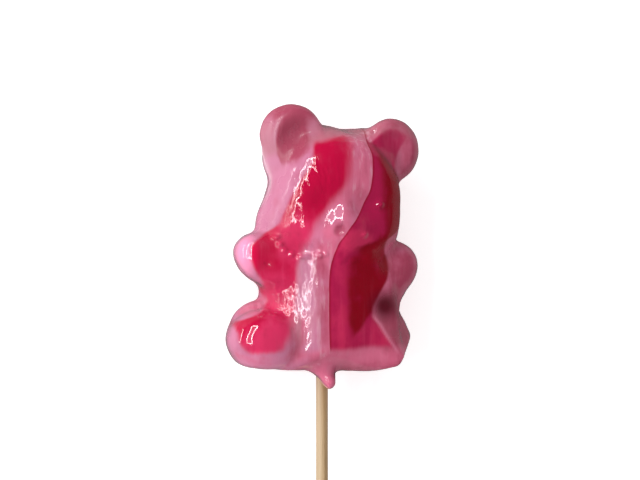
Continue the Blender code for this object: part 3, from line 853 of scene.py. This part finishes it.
def fibre(turn, run):
    """How far the bamboo lies under a true round, as a share of its radius: a sum of small waves.

    The plane left a few flats round it, and ridges of fibre drift slowly round as they run along.
    """
    flats = 0.012 * np.sin(3 * turn + 0.8) + 0.008 * np.sin(7 * turn + 2.1)
    drift = turn + 0.06 * np.sin(2 * np.pi * run * 1.3)
    ridges = 0.006 * np.sin(23 * drift) + 0.005 * np.sin(37 * drift + 1.7 + 2 * run)
    ridges = ridges + 0.004 * np.sin(61 * drift + 4 * run)
    waves = 0.006 * np.sin(9 * run + 2 * turn)
    return PLANED_OFF + flats + ridges + waves


turn = np.linspace(0, 2 * np.pi, STICK_SIDES, endpoint=False)[None, :]
run = np.linspace(0, 1, STICK_ROWS)[:, None]
from_end = np.minimum(run, 1 - run) * stick_length
radius = stick_radius * (1 - fibre(turn, run)) - np.maximum(SAWN_CHAMFER - from_end, 0)
stick_points = np.stack(
    [
        stick_axis.x + radius * np.cos(turn),
        np.broadcast_to(stick_high.y - run * stick_length, radius.shape),
        stick_axis.z + radius * np.sin(turn),
    ],
    -1,
).reshape(-1, 3)
stick_ends = np.array([[stick_axis.x, end, stick_axis.z] for end in (stick_high.y, stick_low.y)])
stick_net = net_faces(STICK_ROWS, STICK_SIDES)
stick_mesh = bpy.data.meshes.new("bamboo_stick")
stick_mesh.from_pydata(np.concatenate([stick_points, stick_ends]).tolist(), [], stick_net)
stick_mesh.shade_smooth()
bamboo_stick = bpy.data.objects.new("bamboo_stick", stick_mesh)
bpy.context.scene.collection.objects.link(bamboo_stick)

BAMBOO_PALE = (0.66, 0.465, 0.265)
BAMBOO_TAN = (0.47, 0.30, 0.145)
BAMBOO_LIT_PALE = (0.86, 0.74, 0.56)
BAMBOO_DARK = (0.30, 0.18, 0.09)
# Painted light: the stick is paler on its lit left, more and more over this width, up to this share.
LIT_LEFT_WIDTH, LIT_LEFT_SHARE = 0.0012, 0.32
FIBRE_RELIEF, FIBRE_STRENGTH = 0.0001, 0.3

bamboo = Finish("dry_bamboo")
long_fibres = bamboo.streaks(2600, 0.02)
broad_bands = bamboo.streaks(700, 0.03, detail=2.0, raggedness=0.5)
pores = bamboo.streaks(5200, 0.05, detail=2.0, raggedness=0.5)
colour = bamboo.mix(bamboo.step(broad_bands, 0.35, 0.65), BAMBOO_TAN, BAMBOO_PALE)
colour = bamboo.mix(bamboo.step(long_fibres, 0.62, 0.75), colour, BAMBOO_DARK)
place_across = bamboo.node("ShaderNodeSeparateXYZ", {"Vector": bamboo.object_place()}).outputs["X"]
# Painted light on the stick's lit left.
lit_left = bamboo.times(bamboo.step(place_across, stick_axis.x, stick_axis.x - LIT_LEFT_WIDTH), LIT_LEFT_SHARE)
colour = bamboo.mix(lit_left, colour, BAMBOO_LIT_PALE)
bamboo.give(Base_Color=colour, Roughness=bamboo.step(pores, -0.3, 1.5))
relief = {"Height": long_fibres, "Strength": FIBRE_STRENGTH, "Distance": FIBRE_RELIEF}
bump = bamboo.node("ShaderNodeBump", relief)
bamboo.give(Normal=bump.outputs["Normal"])
stick_mesh.materials.append(bamboo.material)
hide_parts("stick")
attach(bamboo_stick, "root")

# ----------------------------------------------------------------------------------------------
# The table: a plain pale sheet of paper that the lollipop lies on. It is lit a little from under,
# and the gloss of the sugar sees it darker than the eye does.
# ----------------------------------------------------------------------------------------------
TABLE_HALF_SIDE = 4.0
PAPER = (0.93, 0.93, 0.93)
SHADED_PAPER = tuple(0.985 * c for c in PAPER)
PAPER_IN_GLOSS = (0.21, 0.21, 0.21)
PAPER_GLOW = 0.56

corners = TABLE_HALF_SIDE * np.array([[-1, -1, 0], [1, -1, 0], [1, 1, 0], [-1, 1, 0]])
table_mesh = bpy.data.meshes.new("table")
table_mesh.from_pydata(corners.tolist(), [], [(0, 1, 2, 3)])
table = bpy.data.objects.new("table", table_mesh)
bpy.context.scene.collection.objects.link(table)
paper = Finish("pale_sheet")
tooth = paper.clouds(700, 3.0)
paper.give(Roughness=0.9, Specular_IOR_Level=0.1, Emission_Color=PAPER)
in_gloss = paper.node("ShaderNodeLightPath").outputs["Is Glossy Ray"]
paper.give(Emission_Strength=paper.times(paper.less(1.0, in_gloss), PAPER_GLOW))
paper.give(Base_Color=paper.mix(in_gloss, paper.mix(tooth, SHADED_PAPER, PAPER), PAPER_IN_GLOSS))
table_mesh.materials.append(paper.material)

# ----------------------------------------------------------------------------------------------
# Camera: it looks down on the bear, turned a little to its left, with the bear's head up.
# ----------------------------------------------------------------------------------------------
VIEW_TURN = math.radians(14)
VIEW_DISTANCE = 0.300
VIEW_TARGET = Vector((-0.00048, 0.01637, 0.01418))
LENS = 68.85
NEAREST_SEEN = 0.01

view_right = Vector((math.cos(VIEW_TURN), 0, math.sin(VIEW_TURN)))
view_up = Vector((0, 1, 0))
view_back = Vector((-math.sin(VIEW_TURN), 0, math.cos(VIEW_TURN)))
camera_data = bpy.data.cameras.new("camera")
camera_data.lens = LENS
camera_data.clip_start = NEAREST_SEEN
camera = bpy.data.objects.new("camera", camera_data)
camera.location = VIEW_TARGET + VIEW_DISTANCE * view_back
camera.rotation_euler = (0, -VIEW_TURN, 0)
bpy.context.scene.collection.objects.link(camera)
bpy.context.scene.camera = camera

# ----------------------------------------------------------------------------------------------
# Studio light: a white room, darker where it shows in the gloss, and tall soft boxes on the left
# whose rims are brighter than their middles, so that the gloss shows them as thin bright loops.
# ----------------------------------------------------------------------------------------------
ROOM_LIGHT, ROOM_IN_GLOSS = 0.57, 0.03
LAMP_DISTANCE = 0.45
RIM_WIDTH = 0.022
# Each soft box: how many degrees it stands to the left of the view and above it, how many degrees wide and
# high it looks from the bear, and how bright its middle and its rim are.
SOFT_BOXES = (
    ("key", 33, 19, 13, 56, 0.5, 15.5),
    ("side", 76, 12, 8, 40, 0.4, 10.0),
)
bpy.context.scene.view_settings.view_transform = "Standard"

world = bpy.data.worlds.new("room")
world.use_nodes = True
room = world.node_tree
lighting = room.nodes["Background"]
lighting.inputs["Color"].default_value = (1, 1, 1, 1)
lighting.inputs["Strength"].default_value = ROOM_LIGHT
shown = room.nodes.new("ShaderNodeBackground")
shown.inputs["Strength"].default_value = ROOM_IN_GLOSS
paths = room.nodes.new("ShaderNodeLightPath")
choice = room.nodes.new("ShaderNodeMixShader")
room.links.new(paths.outputs["Is Glossy Ray"], choice.inputs["Fac"])
room.links.new(lighting.outputs[0], choice.inputs[1])
room.links.new(shown.outputs[0], choice.inputs[2])
room.links.new(choice.outputs[0], room.nodes["World Output"].inputs["Surface"])
bpy.context.scene.world = world


def panel(name, place, facing, size, radiance):
    """A flat lamp with its height standing up in the view, as bright all over as the radiance says."""
    behind = -facing.normalized()
    upright = (view_up - view_up.dot(behind) * behind).normalized()
    data = bpy.data.lights.new(name, "AREA")
    data.shape = "RECTANGLE"
    data.size, data.size_y = size
    data.energy = radiance * math.pi * size[0] * size[1]
    lamp = bpy.data.objects.new(name, data)
    lamp.matrix_world = Matrix((upright.cross(behind), upright, behind)).transposed().to_4x4()
    lamp.location = place
    bpy.context.scene.collection.objects.link(lamp)


def soft_box(name, left, up, wide, high, middle_radiance, rim_radiance):
    """A panel seen from the bear at these angles to the view, with four narrow brighter strips round it."""
    left, up = math.radians(left), math.radians(up)
    level = math.cos(left) * view_back - math.sin(left) * view_right
    towards = math.cos(up) * level + math.sin(up) * view_up
    across = view_up.cross(towards).normalized()
    upright = towards.cross(across)
    width, height = (2 * LAMP_DISTANCE * math.tan(math.radians(angle / 2)) for angle in (wide, high))
    parts = (
        ("middle", 0, 0, width, height, middle_radiance),
        ("left", -(width + RIM_WIDTH) / 2, 0, RIM_WIDTH, height, rim_radiance),
        ("right", (width + RIM_WIDTH) / 2, 0, RIM_WIDTH, height, rim_radiance),
        ("top", 0, (height + RIM_WIDTH) / 2, width, RIM_WIDTH, rim_radiance),
        ("bottom", 0, -(height + RIM_WIDTH) / 2, width, RIM_WIDTH, rim_radiance),
    )
    for part, aside, above, part_width, part_height, radiance in parts:
        place = VIEW_TARGET + LAMP_DISTANCE * towards + aside * across + above * upright
        panel(f"{name}_{part}", place, -towards, (part_width, part_height), radiance)


for box in SOFT_BOXES:
    soft_box(*box)
